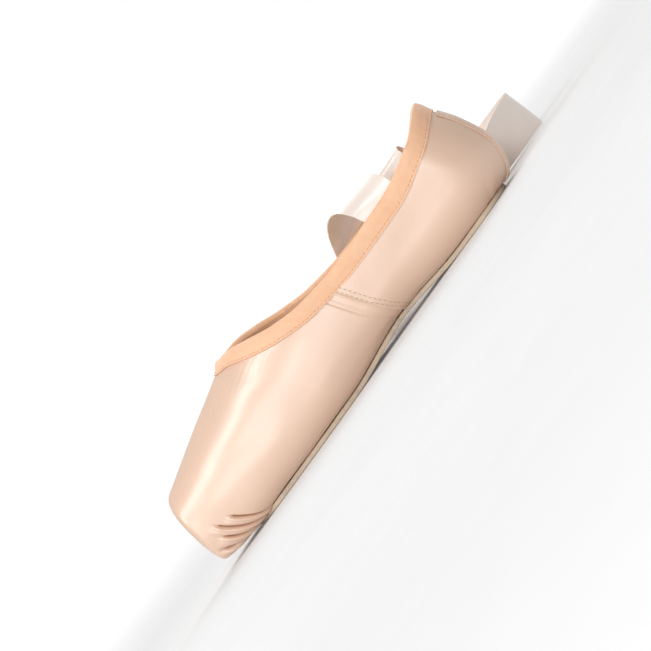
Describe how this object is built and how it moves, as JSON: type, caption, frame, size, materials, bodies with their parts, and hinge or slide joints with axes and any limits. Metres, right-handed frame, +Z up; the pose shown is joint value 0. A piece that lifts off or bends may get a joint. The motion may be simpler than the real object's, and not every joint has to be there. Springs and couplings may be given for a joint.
{
  "type": "pointe shoe",
  "caption": "Satin pointe shoe with a flat-ended toe box, pleated underside, bound collar, narrow leather sole and loose ankle ribbons.",
  "frame": {"origin": "on the floor, under the middle of the shoe's length and width, ribbons left out", "axes": "+Y towards the heel, -Y towards the toe, +X to the wearer's left, +Z up"},
  "size_m": [0.2357, 0.2447, 0.0606],
  "materials": {
    "satin": "satin",
    "binding": "woven tape",
    "ribbon": "satin ribbon",
    "sole_leather": "suede",
    "insole_board": "cotton lining"
  },
  "bodies": {
    "root": {"upper": "satin", "outsole": "sole_leather", "insole": "insole_board", "binding": "binding", "heel_strip": "satin", "ribbon_left": "ribbon", "ribbon_right": "ribbon"}
  },
  "joints": []
}
